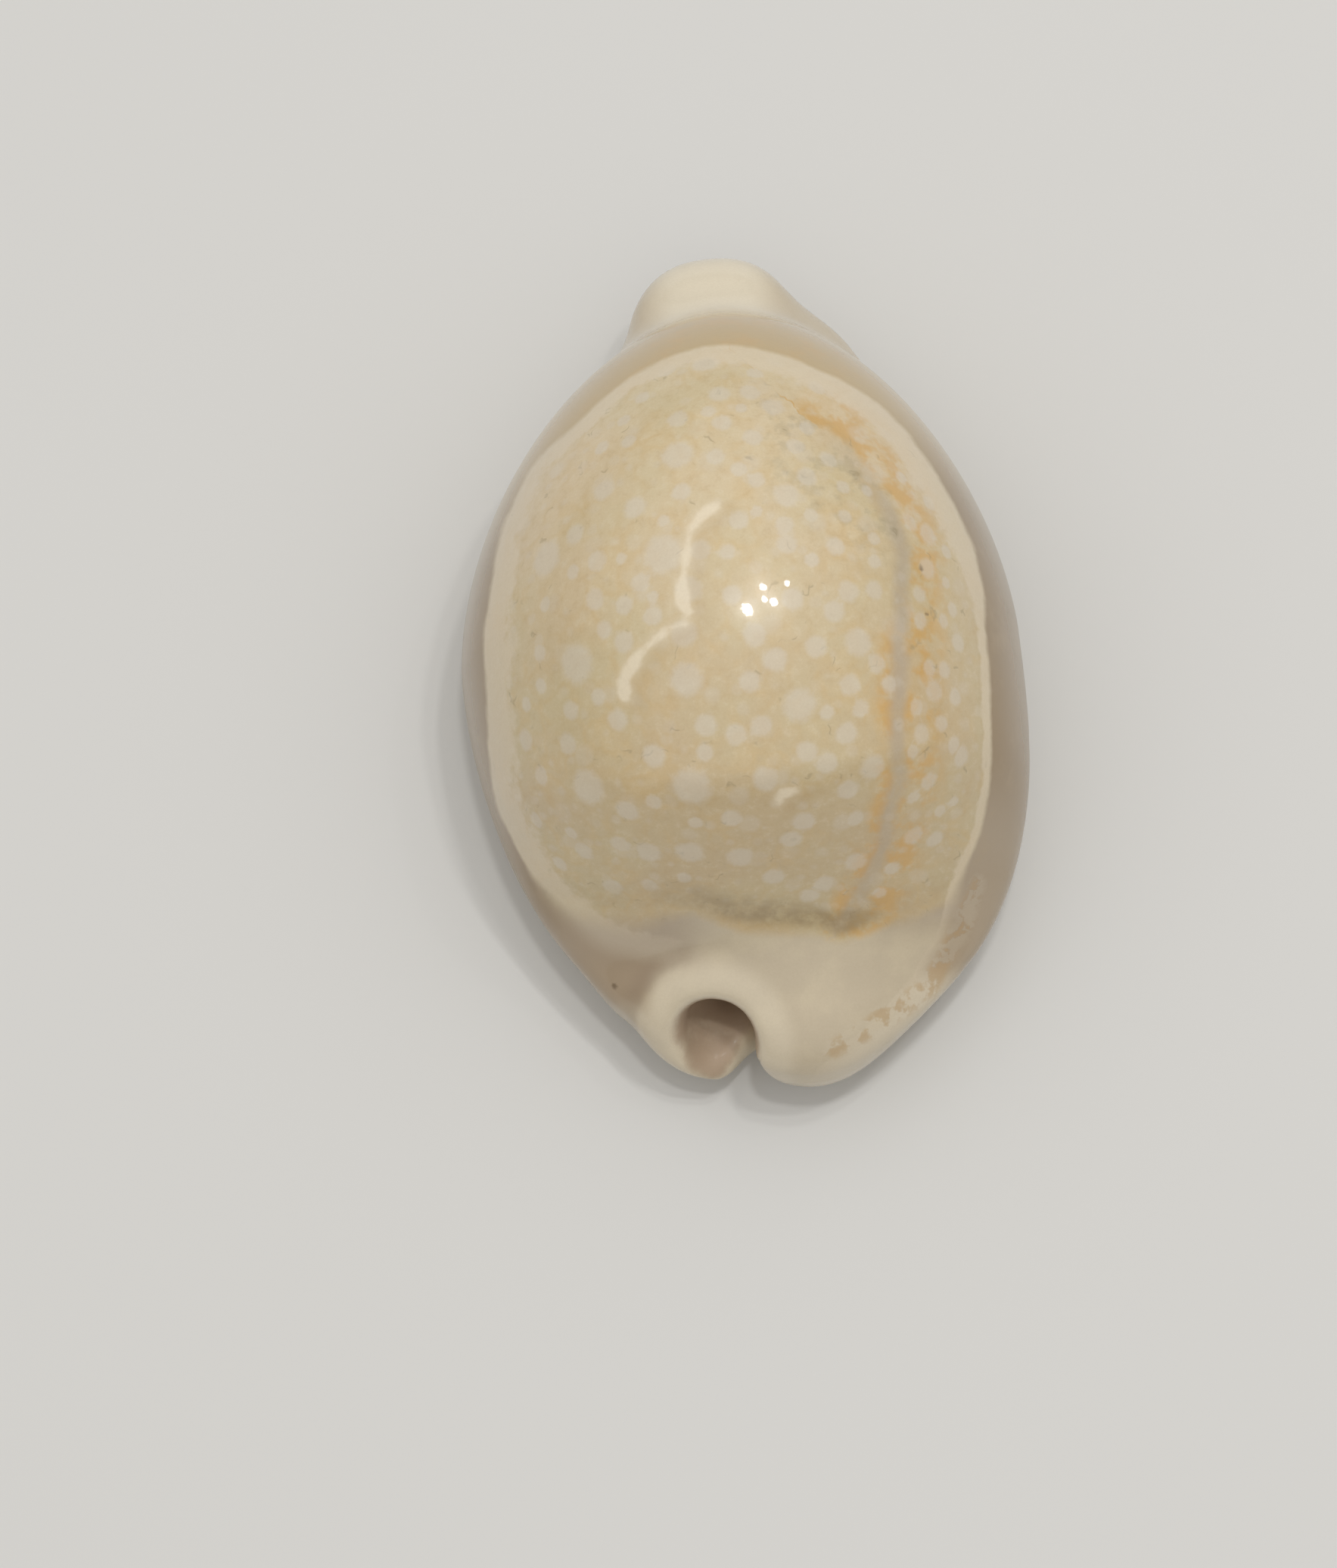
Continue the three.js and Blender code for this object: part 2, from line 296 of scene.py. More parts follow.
def settle(field, verts, quads, rounds):
    """Even out the net, then put every vertex back on the surface."""
    edges = np.concatenate([quads[:, [0, 1]], quads[:, [1, 2]], quads[:, [2, 3]], quads[:, [3, 0]]])
    for _ in range(rounds):
        mean = np.zeros_like(verts)
        count = np.bincount(edges.ravel(), minlength=len(verts))
        for k in range(3):
            mean[:, k] = np.bincount(edges[:, 0], verts[edges[:, 1], k], len(verts))
            mean[:, k] += np.bincount(edges[:, 1], verts[edges[:, 0], k], len(verts))
        verts = 0.4 * verts + 0.6 * mean / count[:, None]
        for _ in range(2):
            g = slope(field, verts)
            d = field(*verts.T)
            move = (d / np.maximum((g * g).sum(1), 0.25))[:, None] * g
            verts = verts - np.clip(move, -0.15, 0.15)
    return verts


PITCH = 0.26
verts, quads = skin(shell, (-15, -21.6, -0.9), (15, 22.2, 21.6), PITCH)
verts = settle(shell, verts, quads, 3)


# ---------------------------------------------------------------- marks
# Marks are placed by (across, along) on a plane through the middle that faces the viewer.
PLANE_SHIFT = (0.12, 0.06)
RAY_FROM, RAY_TO, RAY_STEPS = -20, 8, 1120


def seen(x, v):
    """The point of the dorsum below (x, v) of the plane of the marks."""
    plane = VIEW_CENTRE + VIEW_UP * (v - PLANE_SHIFT[1])
    plane[0] += x - PLANE_SHIFT[0]
    ray = plane - VIEW_BACK * VIEW_FAR - VIEW_CENTRE
    reach = np.linalg.norm(ray)
    along = np.linspace(RAY_FROM, RAY_TO, RAY_STEPS)
    line = plane + along[:, None] * ray / reach
    hit = np.argmax(outer(*line.T) < 0)
    return line[hit]


# across, along, radius: the pale spots of the coat that stand out
SPOTS = (
    (-2.1, 11, 0.75), (-3.3, 6.3, 0.9), (-8.9, 6.7, 0.85), (-8, 1.5, 0.9), (-2.8, 0.2, 0.75),
    (-4.75, -3.3, 0.55), (-3.1, -5, 0.9), (-8.05, -4.5, 0.85), (-6.3, -1.4, 0.5), (-8.5, -0.7, 0.45),
    (-2.1, -2.1, 0.5), (-0.7, -2.7, 0.5), (-2.25, -3.4, 0.4), (0.55, -2.4, 0.5), (0.5, -5, 0.6),
    (-1.3, -6.7, 0.5), (-1.1, -8.6, 0.6), (0.4, -9.7, 0.5), (-3.5, -8.1, 0.65), (-5.5, -7.9, 0.6),
    (-6.8, -7.4, 0.5), (-6.3, -5.8, 0.55), (-5, -5.5, 0.4), (-3.1, -6.7, 0.35), (-8.6, -7.5, 0.5),
    (-7.4, -9.4, 0.5), (-8.8, -2.3, 0.5), (-7.1, -0.2, 0.4), (-5.6, 2.3, 0.5), (-6.8, 4.5, 0.5),
    (-6.5, 6.3, 0.5), (-5.4, 4.05, 0.45), (-4.5, 5.05, 0.45), (-4.1, 3.4, 0.45), (-6.5, 3, 0.4),
    (-7.4, 7.7, 0.5), (-4.4, 8.7, 0.55), (-5.8, 9.7, 0.55), (-2.1, 9.2, 0.45), (-0.3, 10.7, 0.45),
    (-1.5, 6.3, 0.5), (-2.2, 4.5, 0.6), (-2.7, 2.4, 0.6), (-10.8, -1.9, 0.5), (-10.25, -3.7, 0.45),
    (-10.7, -5.8, 0.4), (-9.7, 2.2, 0.4), (-9.2, 4.5, 0.35), (-1.9, 12.7, 0.5), (-4.35, 11.9, 0.4),
    (-5.7, 11.7, 0.4), (2.9, 8.5, 0.6), (2.7, 7.1, 0.45), (2.7, 6.2, 0.5), (0.5, 7.55, 0.45),
    (-0.2, 6.1, 0.4), (1.6, 11.45, 0.45), (3.6, 10.8, 0.45), (4.2, 11.6, 0.4), (4, 9.3, 0.5),
    (1.55, 9.4, 0.4), (5.4, 3.6, 0.5), (4.6, 2.7, 0.5), (5.6, 1.1, 0.65), (6.65, 3.5, 0.45),
    (3.6, 1.1, 0.5), (1.55, 0.7, 0.55), (0.2, -0.25, 0.5), (0.7, 2, 0.55), (2.5, -1.6, 0.75),
    (5, -0.9, 0.5), (6.4, 0, 0.45), (6.9, -1.05, 0.4), (3.8, -2.1, 0.35), (5.4, -2.1, 0.4),
    (4.6, -3.2, 0.5), (2.6, -3.9, 0.5), (3.5, -4.55, 0.5), (5.7, -4.95, 0.6), (4.4, -5.9, 0.5),
    (2.1, -7.2, 0.55), (1.4, -8, 0.5), (2.8, -10.3, 0.5), (4.4, -9.4, 0.55), (6.1, -9.9, 0.4),
    (7.3, -8.45, 0.5), (8.3, -5.9, 0.45), (7.5, -6.6, 0.35), (8.2, -3.6, 0.45), (8.1, -2.3, 0.4),
    (9, -1.6, 0.5), (8.9, -0.5, 0.4), (9.6, -0.65, 0.4), (10.4, 0.6, 0.45), (8.7, 1.8, 0.4),
    (9.3, 4.3, 0.5), (8.8, 3.1, 0.4), (9.5, 5.9, 0.55), (8.7, 6.6, 0.45), (8.3, -8.7, 0.45),
    (9.7, -4.3, 0.4), (10.3, 2.2, 0.35),
    (-2.2, 15.1, 0.5), (-0.3, 15.2, 0.6), (2, 14.5, 0.4), (0.2, 13.7, 0.5), (1.7, 13.6, 0.5),
    (-3.5, 13.9, 0.4), (3.1, 15, 0.5), (2.7, 12.8, 0.55), (1.2, 12.9, 0.3), (-0.4, 12.9, 0.35),
    (0.2, 12.3, 0.45), (4.9, 13.5, 0.45), (-4.5, 12.9, 0.35), (0.8, 10, 0.4), (5.1, 10, 0.45),
    (5.7, 8.6, 0.35), (6.8, 8.3, 0.3), (5.6, 7.2, 0.35), (1.4, 7.9, 0.3), (4, 7.4, 0.35),
    (5, 5.8, 0.45), (6.9, 6, 0.35), (6.8, 4.9, 0.35), (3.8, 5.3, 0.35), (8.5, 8.8, 0.35),
    (9.7, 7.4, 0.4), (10.3, 5, 0.35), (10.1, 3.5, 0.3), (9.8, 1.7, 0.35), (2.7, 3.5, 0.5),
    (-0.2, 4, 0.45), (10, -2, 0.4), (9.2, -3.2, 0.4), (10, -4.9, 0.5), (7.7, -4.4, 0.35),
    (8.7, -7.4, 0.35), (9.4, -7, 0.3), (4.6, -7.3, 0.45), (5.4, -11, 0.35), (2, -10.8, 0.45),
    (-9.8, -8, 0.4), (-9.1, -6.6, 0.35), (-5.6, -9.5, 0.4), (-3.9, -9.3, 0.35), (-5.3, 6.3, 0.3),
    (-3.1, 7.9, 0.3), (-7.7, 5.9, 0.35), (-4, 4.3, 0.3), (-10.6, -0.2, 0.35), (-9.8, 0.6, 0.35),
)
# The mantle line, the back end of the coat and the edge of the light zone, in the same plane.
MANTLE_LINE = ((5.0, 11.2), (6.4, 9.6), (7.6, 7.6), (8.2, 5.2), (7.9, 3.2), (7.7, 1.2),
               (7.3, -1.4), (7.05, -3.6), (6.9, -5.6), (6.2, -7.2), (5.8, -8.6), (5.1, -10.0),
               (4.2, -11.3), (3.3, -12.4))
COAT_END = ((-13, -8.2), (-10, -9.2), (-8, -9.8), (-6.5, -10.1), (-5, -10.0), (-3.6, -10.3),
            (-2.4, -10.9), (-1.2, -11.3), (0.5, -11.6), (2, -11.9), (3.4, -12.4), (5, -12.0),
            (7, -11.6), (10, -10.6))
LIGHT_EDGE = ((0, 16.1), (2, 15.8), (4, 15.0), (6, 13.8), (7.6, 12.7), (9, 11), (10.1, 9), (11, 7),
              (11.7, 5), (11.9, 3), (11.75, 1), (11.75, -1.5), (11.6, -4), (11.3, -6), (10.8, -8),
              (9.8, -10), (8.9, -11.8), (8.3, -13.3), (7.2, -15), (6, -16.4), (4, -18), (2, -19.3),
              (0, -21), (-5, -21), (-6, -18.5), (-6.3, -16), (-6.1, -14), (-5.2, -13.3), (-6.5, -12.9),
              (-8.2, -12.3), (-9.6, -11), (-10.9, -9), (-11.9, -7), (-12.6, -5), (-12.7, -3), (-12.5, 0),
              (-12.4, 3), (-11.9, 5), (-11.1, 8), (-9.9, 10), (-8.6, 11.8), (-7, 12.8), (-5, 14.4),
              (-3, 15.4), (-1, 16.0))
# painted reflections in the glaze, drawn as pale lines: across, along, half width
REFLECTION_LINES = (((-0.4, 8.4, 0.14), (-1.2, 8.0, 0.3), (-1.85, 7.3, 0.16), (-2.1, 6.5, 0.14),
              (-2.35, 5.3, 0.2), (-2.6, 4.6, 0.3), (-2.65, 4.0, 0.38), (-2.4, 3.4, 0.26)),
             ((-2.6, 2.95, 0.22), (-3.6, 2.6, 0.14), (-4.6, 1.9, 0.18), (-5.3, 1.2, 0.24),
              (-5.75, 0.5, 0.3), (-5.85, -0.3, 0.3)),
             ((0.95, -6.1, 0.14), (1.3, -5.8, 0.2), (1.85, -5.65, 0.16)))
# the painted shade beside each reflection line sits this far off it
REFLECTION_SHADE_SHIFT = (0.55, -0.35)
# dark pinholes: across, along, radius
PINHOLES = ((9.0, 4.35, 0.17), (9.05, 2.1, 0.13), (-10.3, 9.0, 0.12), (-7.8, -14.2, 0.18))
# worn scars along the right margin: across, along, half width
MARGIN_SCARS = ((10.2, -11.0, 0.1), (9.2, -13.0, 0.25), (8.1, -14.6, 0.2), (7.3, -15.8, 0.3),
                (5.4, -16.8, 0.35), (4.2, -17.5, 0.3), (2.4, -18.3, 0.2))
RIBBON_LEFT, RIBBON_LEFT_LOSS, RIBBON_RIGHT, RIBBON_RIGHT_GAIN = 1.25, 0.65, 0.42, 0.6
FAR_OFF = 9


def on_plane(p):
    """Where each vertex stands in the plane of the marks: the reverse of seen."""
    ray = p - VIEW_CENTRE
    grow = VIEW_FAR / (VIEW_FAR - ray @ VIEW_BACK)
    return np.stack([ray[:, 0] * grow + PLANE_SHIFT[0], ray @ VIEW_UP * grow + PLANE_SHIFT[1]], 1)


def from_line(p, pts, widths=None):
    """Distance of each point from a line: how far outside its half width, and on which side."""
    best = np.full(len(p), 50.0)
    side = np.ones(len(p))
    for k, (a, b) in enumerate(zip(pts[:-1], pts[1:])):
        d = b - a
        t = np.clip(((p - a) @ d) / (d @ d), 0, 1)
        gap = np.linalg.norm(p - a - t[:, None] * d, axis=1)
        if widths is not None:
            gap = gap - widths[k] - (widths[k + 1] - widths[k]) * t
        near = gap < best
        best = np.where(near, gap, best)
        turn = (p[:, 0] - a[0]) * -d[1] + (p[:, 1] - a[1]) * d[0]
        side = np.where(near, np.sign(turn) + (turn == 0), side)
    return best, side


def inside_loop(p, pts):
    """Distance in from a closed line, negative outside it."""
    gap = from_line(p, np.concatenate([pts, pts[:1]]))[0]
    odd = np.zeros(len(p), bool)
    for a, b in zip(pts, np.roll(pts, -1, 0)):
        spans = (a[1] > p[:, 1]) != (b[1] > p[:, 1])
        rise = b[1] - a[1] if b[1] != a[1] else 1e-9
        odd ^= spans & (p[:, 0] < a[0] + (p[:, 1] - a[1]) / rise * (b[0] - a[0]))
    return np.where(odd, gap, -gap)


def softened(loop, rounds=2):
    """Cuts the corners of a closed line of points."""
    pts = np.array(loop, float)
    for _ in range(rounds):
        after = np.roll(pts, -1, 0)
        pts = np.stack([pts * 0.75 + after * 0.25, pts * 0.25 + after * 0.75], 1).reshape(-1, 2)
    return pts


def nearest_mark(p, marks):
    """Distance from the nearest of some round marks, in radii."""
    best = np.full(len(p), 4.0)
    for sx, sv, r in marks:
        best = np.minimum(best, np.linalg.norm(p - seen(sx, sv), axis=1) / r)
    return best


def marks(p):
    """What the finish needs to know at each vertex, by attribute name."""
    x, y, z = p.T
    lay = {}
    plane = on_plane(p)
    n = slope(outer, p)
    facing = (n @ VIEW_BACK) / np.linalg.norm(n, axis=1)
    edge = inside_loop(plane, softened(LIGHT_EDGE))
    # the light zone also ends where the surface turns from the viewer; the darker flank beyond it is partly
    # painted shade
    edge = np.clip(np.minimum(edge, 6 * (facing - 0.04)), -5, FAR_OFF)
    lay["light_edge"] = edge
    left = RIBBON_LEFT - RIBBON_LEFT_LOSS * step(5, 11, plane[:, 1])
    right = RIBBON_RIGHT + RIBBON_RIGHT_GAIN * step(1, 6, plane[:, 1])
    wide = np.where(plane[:, 0] < 0, left, right)
    lay["ribbon_reflection"] = edge / wide
    gap, side = from_line(plane, np.array(MANTLE_LINE))
    lay["mantle"] = np.where(facing > 0, gap * side, FAR_OFF)
    ends = np.array(COAT_END)
    lay["coat_end"] = plane[:, 1] - np.interp(plane[:, 0], ends[:, 0], ends[:, 1])
    lay["spot"] = nearest_mark(p, SPOTS)
    # painted reflection lines, and the painted shade beside them, as distances from the lines
    for name, shift in (("reflection_line", (0, 0)), ("reflection_shade", REFLECTION_SHADE_SHIFT)):
        reflection_gap = np.full(len(x), float(FAR_OFF))
        for line in REFLECTION_LINES:
            pts = np.array(line)
            gap = from_line(plane - shift, pts[:, :2], pts[:, 2])[0]
            reflection_gap = np.minimum(reflection_gap, gap)
        lay[name] = np.where(facing > 0, reflection_gap, FAR_OFF)
    lay["pinhole"] = nearest_mark(p, PINHOLES)
    pts = np.array(MARGIN_SCARS)
    scars = from_line(plane, pts[:, :2], pts[:, 2])[0]
    lay["margin_scar"] = np.where(facing > -0.1, scars, FAR_OFF)
    lay["depth"] = -outer(x, y, z)
    lay["bore"] = np.minimum(bar(x, y, z, CANAL), bar(x, y, z, TROUGH))
    return lay


def unrolled(p):
    """The dorsum laid flat from its top, so that round marks stay round."""
    x, y, z = p.T
    c = WIDEST
    u = (x - c[0]) / HALF_WIDTH
    v = (y - c[1]) / np.where(y > c[1], REACH_FRONT, REACH_BACK)
    rho = np.hypot(u, v) + 1e-6
    theta = np.arctan2(rho, (z - c[2]) / DOME_RISE)
    k = theta / rho
    return np.stack([x * k, y * k, np.zeros(len(x))], 1)


def lip_weights(p):
    """Where the tooth ridges and the margin pits stand, from 0 to 1."""
    x, y, z = p.T
    mid = slit_x(y, z)
    off = np.abs(x - mid) - slit_half(y)
    near = step(2.6, 0.5, off) * step(4.6, 2.2, z) * step(0.0, 0.9, z)
    labral = near * (x > mid) * step(-17.5, -14.5, y) * step(17.5, 14.5, y)
    columellar = near * (x < mid) * step(-16.5, -13.0, y) * step(16.5, 13.5, y)
    pits = step(5.5, 8.5, x) * step(8.0, 5.5, z) * step(1.0, 2.5, z) * step(2, -6, y)
    return {"labral": labral, "columellar": columellar, "pit_zone": pits}


lay = marks(verts)
lay.update(lip_weights(verts))

low, high = verts.min(0), verts.max(0)
home = np.array([(low[0] + high[0]) / 2, (low[1] + high[1]) / 2, low[2]])
target = np.array([(cad_box[0][0] + cad_box[1][0]) / 2, (cad_box[0][1] + cad_box[1][1]) / 2,
                   cad_box[0][2]])
mesh = bpy.data.meshes.new("cowrie")
mesh.from_pydata(((verts - home) * MM + target).tolist(), [], quads.tolist())
for name, data in lay.items():
    layer = mesh.attributes.new(name, "FLOAT", "POINT")
    layer.data.foreach_set("value", np.ascontiguousarray(data, dtype=np.float32))
flat = mesh.attributes.new("unrolled", "FLOAT_VECTOR", "POINT")
flat.data.foreach_set("vector", unrolled(verts).astype(np.float32).ravel())
mesh.polygons.foreach_set("use_smooth", [True] * len(mesh.polygons))
mesh.update()
shell_piece = bpy.data.objects.new("cowrie", mesh)
scene.collection.objects.link(shell_piece)


# ---------------------------------------------------------------- node helpers
def srgb(r, g, b):
    out = []
    for c in (r, g, b):
        c /= 255
        out.append(c / 12.92 if c <= 0.04045 else ((c + 0.055) / 1.055) ** 2.4)
    return (*out, 1.0)


class Sheet:
    """Places nodes left to right and wires them by short calls."""

    def __init__(self, tree):
        self.tree = tree
        self.count = 0

    def node(self, kind, **props):
        n = self.tree.nodes.new(kind)
        n.location = (180 * (self.count % 12), -220 * (self.count // 12))
        self.count += 1
        for key, val in props.items():
            setattr(n, key, val)
        return n

    def put(self, socket, value):
        if isinstance(value, bpy.types.NodeSocket):
            self.tree.links.new(value, socket)
        elif value is not None:
            socket.default_value = value

    def math(self, op, a, b=None):
        n = self.node("ShaderNodeMath", operation=op)
        self.put(n.inputs[0], a)
        self.put(n.inputs[1], b)
        return n.outputs[0]

    def both(self, *values):
        """Product of two or more values."""
        out = values[0]
        for value in values[1:]:
            out = self.math("MULTIPLY", out, value)
        return out

    def plus(self, a, b, share=1.0):
        """a + b * share"""
        return self.math("ADD", a, b if share == 1.0 else self.math("MULTIPLY", b, share))

    def ramp(self, value, a, b, to_a=0.0, to_b=1.0):
        n = self.node("ShaderNodeMapRange", interpolation_type="SMOOTHSTEP")
        for k, v in enumerate((value, a, b, to_a, to_b)):
            self.put(n.inputs[k], v)
        return n.outputs[0]

    def attribute(self, name):
        return self.node("ShaderNodeAttribute", attribute_name=name).outputs["Fac"]

    def noise(self, where, scale, detail=2.0, rough=0.5):
        n = self.node("ShaderNodeTexNoise")
        self.put(n.inputs["Vector"], where)
        n.inputs["Scale"].default_value = scale
        n.inputs["Detail"].default_value = detail
        n.inputs["Roughness"].default_value = rough
        return n.outputs["Fac"]

    def tint(self, fac, a, b):
        """Colour a turning to b as the factor rises."""
        n = self.node("ShaderNodeMix", data_type="RGBA", blend_type="MIX")
        self.put(n.inputs[0], fac)
        self.put(n.inputs[6], a)
        self.put(n.inputs[7], b)
        return n.outputs[2]


# ---------------------------------------------------------------- finish
def speckle_group():
    """Pale round spots of mixed size: mask of spots for one spacing."""
    g = bpy.data.node_groups.new("coat speckle", "ShaderNodeTree")
    face = g.interface
    face.new_socket(name="Vector", in_out="INPUT", socket_type="NodeSocketVector")
    for name in ("Spacing", "Radius", "Share", "Softness"):
        face.new_socket(name=name, in_out="INPUT", socket_type="NodeSocketFloat")
    face.new_socket(name="Mask", in_out="OUTPUT", socket_type="NodeSocketFloat")
    sh = Sheet(g)
    gin = sh.node("NodeGroupInput")
    out = sh.node("NodeGroupOutput")
    vor = sh.node("ShaderNodeTexVoronoi", feature="F1", voronoi_dimensions="2D")
    sh.put(vor.inputs["Vector"], gin.outputs["Vector"])
    sh.put(vor.inputs["Scale"], sh.math("DIVIDE", 1.0, gin.outputs["Spacing"]))
    vor.inputs["Randomness"].default_value = 0.85
    dist = sh.math("MULTIPLY", vor.outputs["Distance"], gin.outputs["Spacing"])
    pick = sh.node("ShaderNodeSeparateColor")
    sh.put(pick.inputs[0], vor.outputs["Color"])
    size = sh.math("MULTIPLY", gin.outputs["Radius"], sh.math("ADD", pick.outputs[0], 0.45))
    wobble = sh.math("MULTIPLY", sh.math("SUBTRACT", sh.noise(gin.outputs["Vector"], 1.6), 0.5), 0.25)
    gap = sh.math("ADD", sh.math("SUBTRACT", dist, size), wobble)
    soft = gin.outputs["Softness"]
    mask = sh.ramp(gap, soft, sh.math("MULTIPLY", soft, -1.0))
    there = sh.math("LESS_THAN", pick.outputs[1], gin.outputs["Share"])
    strength = sh.math("ADD", sh.math("MULTIPLY", pick.outputs[2], 0.5), 0.5)
    sh.put(out.inputs["Mask"], sh.math("MULTIPLY", sh.math("MULTIPLY", mask, there), strength))
    return g


speckle = speckle_group()


def speckles(sh, where, spacing, radius, share, soft):
    n = sh.node("ShaderNodeGroup", node_tree=speckle)
    sh.put(n.inputs["Vector"], where)
    for key, val in (("Spacing", spacing), ("Radius", radius), ("Share", share), ("Softness", soft)):
        n.inputs[key].default_value = val
    return n.outputs["Mask"]


def vein_group():
    """Thin wandering lines between rounded cells: mask of lines for one spacing."""
    g = bpy.data.node_groups.new("coat veins", "ShaderNodeTree")
    face = g.interface
    face.new_socket(name="Vector", in_out="INPUT", socket_type="NodeSocketVector")
    for name in ("Spacing", "Width", "Wander"):
        face.new_socket(name=name, in_out="INPUT", socket_type="NodeSocketFloat")
    face.new_socket(name="Mask", in_out="OUTPUT", socket_type="NodeSocketFloat")
    sh = Sheet(g)
    gin = sh.node("NodeGroupInput")
    out = sh.node("NodeGroupOutput")
    drift = sh.node("ShaderNodeTexNoise", noise_dimensions="2D")
    sh.put(drift.inputs["Vector"], gin.outputs["Vector"])
    drift.inputs["Scale"].default_value = 0.7
    off = sh.node("ShaderNodeVectorMath", operation="SCALE")
    sh.put(off.inputs[0], drift.outputs["Color"])
    sh.put(off.inputs["Scale"], sh.math("MULTIPLY", gin.outputs["Wander"], 2.0))
    bent = sh.node("ShaderNodeVectorMath", operation="ADD")
    sh.put(bent.inputs[0], gin.outputs["Vector"])
    sh.put(bent.inputs[1], off.outputs[0])
    vor = sh.node("ShaderNodeTexVoronoi", feature="DISTANCE_TO_EDGE", voronoi_dimensions="2D")
    sh.put(vor.inputs["Vector"], bent.outputs[0])
    sh.put(vor.inputs["Scale"], sh.math("DIVIDE", 1.0, gin.outputs["Spacing"]))
    gap = sh.math("MULTIPLY", vor.outputs["Distance"], gin.outputs["Spacing"])
    sh.put(out.inputs["Mask"], sh.ramp(gap, gin.outputs["Width"], 0.0))
    return g


vein = vein_group()


def veins(sh, where, spacing, width, wander):
    n = sh.node("ShaderNodeGroup", node_tree=vein)
    sh.put(n.inputs["Vector"], where)
    for key, val in (("Spacing", spacing), ("Width", width), ("Wander", wander)):
        n.inputs[key].default_value = val
    return n.outputs["Mask"]


# Tones of the finish, in plain eight-bit sRGB.
COAT_BACK_TONE_AND_SHADE, COAT_FRONT_TONE_AND_LIGHT = srgb(194, 173, 136), srgb(216, 197, 163)
COAT_GREENISH, COAT_HONEY = srgb(200, 187, 148), srgb(216, 190, 142)
HOLLOW_TAN, BETWEEN_CREAM = srgb(180, 152, 106), srgb(224, 212, 184)
PATCH_ORANGE, LINE_LILAC, CLOUD_GREY = srgb(206, 162, 90), srgb(166, 153, 143), srgb(158, 147, 120)
NICK_DARK, VEIN_YELLOW, SPOT_PALE = srgb(138, 124, 92), srgb(200, 168, 112), srgb(211, 203, 189)
CALLUS_LOW, CALLUS_HIGH = srgb(193, 179, 154), srgb(201, 187, 160)
CALLUS_SHADE_LEFT, CALLUS_GREY_RIGHT = srgb(168, 151, 130), srgb(160, 141, 120)
BAND_OLIVE_AND_SHADE, STREAK_ORANGE = srgb(150, 130, 96), srgb(190, 156, 104)
REFLECTION_SHADE_TINT, REFLECTION_HALO, REFLECTION_CORE = srgb(176, 148, 106), srgb(226, 212, 186), srgb(234, 221, 196)
RIBBON_PALE_AND_REFLECTION, RING_PALE_AND_HIGHLIGHT = srgb(220, 205, 179), srgb(222, 210, 186)
FLANK_BACK_AND_SHADE, FLANK_FRONT, FLANK_BLUSH = srgb(148, 125, 91), srgb(190, 166, 122), srgb(204, 166, 106)
FLANK_LEFT_LOBE, FLANK_RIGHT_LOBE, LOBE_TIPS = srgb(172, 154, 132), srgb(174, 158, 136), srgb(208, 195, 171)
SNOUT_TOP, SNOUT_SIDES_SHADE = srgb(226, 215, 192), srgb(200, 184, 156)
BASE_PALE, FLANK_MOTTLE, CREASE_SHADE = srgb(210, 198, 174), srgb(180, 158, 122), srgb(138, 119, 98)
SCAR_TAN, SCAR_PALE, PINHOLE_DARK = srgb(180, 148, 102), srgb(222, 212, 190), srgb(104, 86, 62)
CANAL_BROWN, CHAMBER_ROSE, GRAIN_DARK = srgb(166, 144, 122), srgb(214, 192, 168), srgb(150, 130, 100)

GLAZE_WEIGHT, GLAZE_ROUGH, GLAZE_IOR = 0.7, 0.035, 1.55
SHELL_ROUGH, CANAL_ROUGHER, SHELL_SPECULAR = 0.24, 0.3, 0.28
BUMP_STRENGTH, BUMP_REACH = 0.18, 0.05 * MM


def ground(sh):
    """Position in millimetres, the marks, and the noises that every part of the finish shares."""
    at = SimpleNamespace()
    mm = sh.node("ShaderNodeVectorMath", operation="SCALE")
    sh.put(mm.inputs[0], sh.node("ShaderNodeTexCoord").outputs["Object"])
    mm.inputs["Scale"].default_value = 1 / MM
    at.pos = mm.outputs[0]
    xyz = sh.node("ShaderNodeSeparateXYZ")
    sh.put(xyz.inputs[0], at.pos)
    at.x, at.y, at.z = xyz.outputs
    at.flat = sh.node("ShaderNodeAttribute", attribute_name="unrolled").outputs["Vector"]
    at.edge = sh.attribute("light_edge")
    at.mantle = sh.attribute("mantle")
    at.end = sh.attribute("coat_end")
    at.bore = sh.attribute("bore")
    at.patch = sh.noise(at.pos, 0.45, 3.0, 0.6)
    at.fine = sh.noise(at.pos, 2.2, 4.0, 0.6)
    at.wander = sh.both(sh.math("SUBTRACT", at.patch, 0.5), 1.6)
    at.jitter = sh.both(sh.math("SUBTRACT", at.fine, 0.5), 0.6)
    at.coat_edge = sh.plus(at.end, at.wander, 0.35)
    return at


